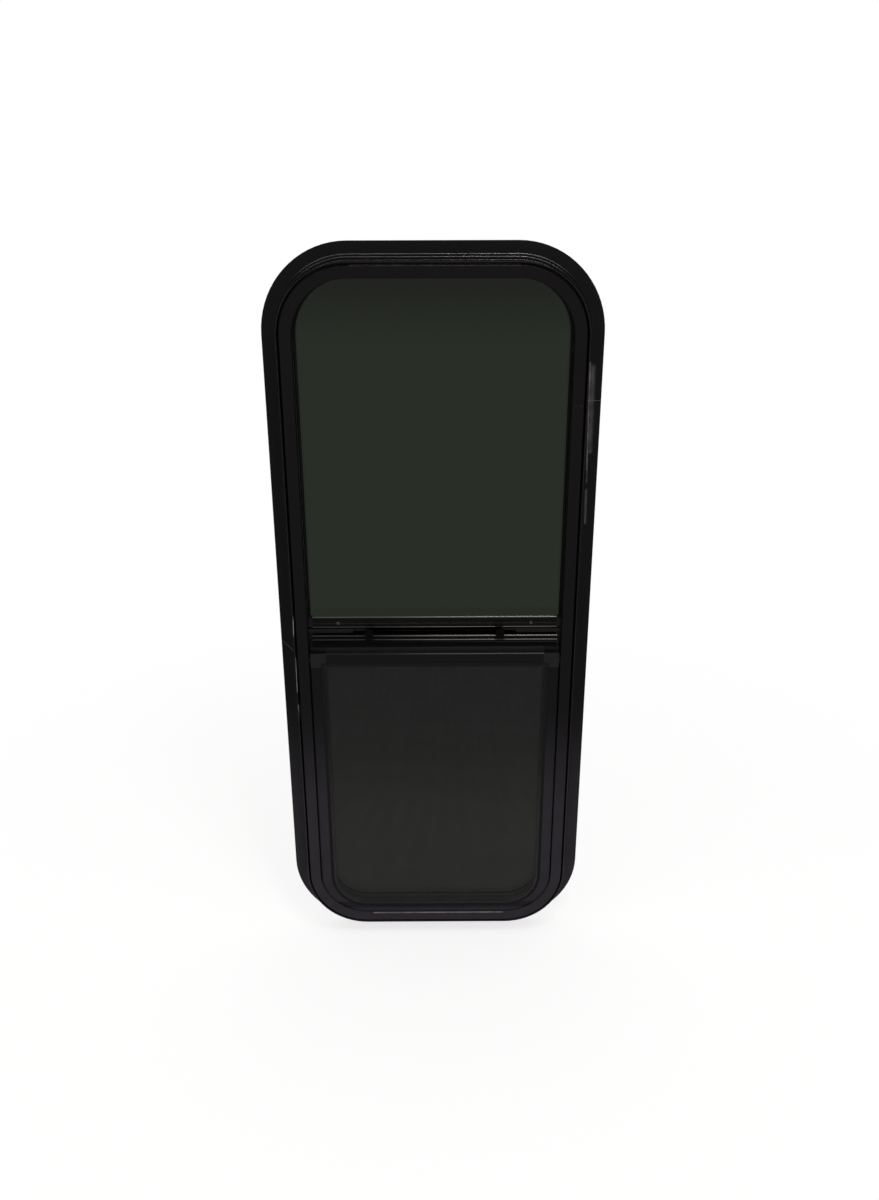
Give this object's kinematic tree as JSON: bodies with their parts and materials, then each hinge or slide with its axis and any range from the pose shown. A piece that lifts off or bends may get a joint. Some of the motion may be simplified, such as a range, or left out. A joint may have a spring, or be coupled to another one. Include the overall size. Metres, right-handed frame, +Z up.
{
  "type": "vertical sliding caravan window",
  "caption": "Radius-cornered black aluminium vehicle window with a fixed upper pane, a lower sash that slides up on a pinch latch, and a half insect screen on the room side.",
  "frame": {"origin": "on the wall side of the outer flange, in the middle of its lower run, 7 mm above the window's lower edge", "axes": "+Z up, -Y toward the room, +Y toward the outside, +X to the right for a person in the room"},
  "size_m": [0.39, 0.039, 0.915],
  "materials": {
    "black_aluminium": "gloss black powder coat",
    "screen_aluminium": "satin black paint",
    "tinted_glass": "dark green tint",
    "tinted_glass_lower": "dark grey tint",
    "black_rubber": "matte",
    "black_plastic": "matte, moulded",
    "latch_plastic": "satin, moulded",
    "grey_pile": "brushed pile",
    "screen_cloth": "woven black fibreglass"
  },
  "bodies": {
    "window": {"frame": "black_aluminium", "fixed_pane": "tinted_glass", "pane_gasket": "black_rubber", "pane_bottom_gasket": "black_rubber", "meeting_rail": "black_aluminium", "meeting_rail_bracket_left": "black_plastic", "meeting_rail_bracket_right": "black_plastic", "meeting_rail_pile": "grey_pile", "side_pile_left": "grey_pile", "side_pile_right": "grey_pile", "front_guide_left": "black_plastic", "front_guide_right": "black_plastic", "sill_seal": "black_rubber", "sash_stop_left": "black_plastic", "sash_stop_right": "black_plastic", "weep_cover_left": "black_plastic", "weep_cover_right": "black_plastic", "screen_frame": "screen_aluminium", "screen_top_rail": "screen_aluminium", "screen_corner_left": "black_plastic", "screen_corner_right": "black_plastic", "screen_spline": "black_rubber", "screen_mesh": "screen_cloth", "screen_rest_left": "black_plastic", "screen_rest_right": "black_plastic"},
    "sash": {"sash_latch_rail": "black_aluminium", "sash_end_guide_left": "black_plastic", "sash_end_guide_right": "black_plastic", "sash_glass": "tinted_glass_lower", "sash_edge_trim_left": "black_plastic", "sash_edge_trim_right": "black_plastic", "sash_bottom_rail": "black_aluminium"},
    "latch_left": {"latch_bolt_left": "latch_plastic", "latch_tab_left": "latch_plastic"},
    "latch_right": {"latch_bolt_right": "latch_plastic", "latch_tab_right": "latch_plastic"}
  },
  "joints": [
    {"name": "sash_slide", "type": "slide", "parent": "window", "child": "sash", "axis": [0, 0, 1], "range_m": [0, 0.32]},
    {"name": "latch_left_slide", "type": "slide", "parent": "sash", "child": "latch_left", "axis": [1, 0, 0], "range_m": [0, 0.008], "stiffness_N_per_m": 400},
    {"name": "latch_right_slide", "type": "slide", "parent": "sash", "child": "latch_right", "axis": [-1, 0, 0], "range_m": [0, 0.008], "stiffness_N_per_m": 400}
  ]
}
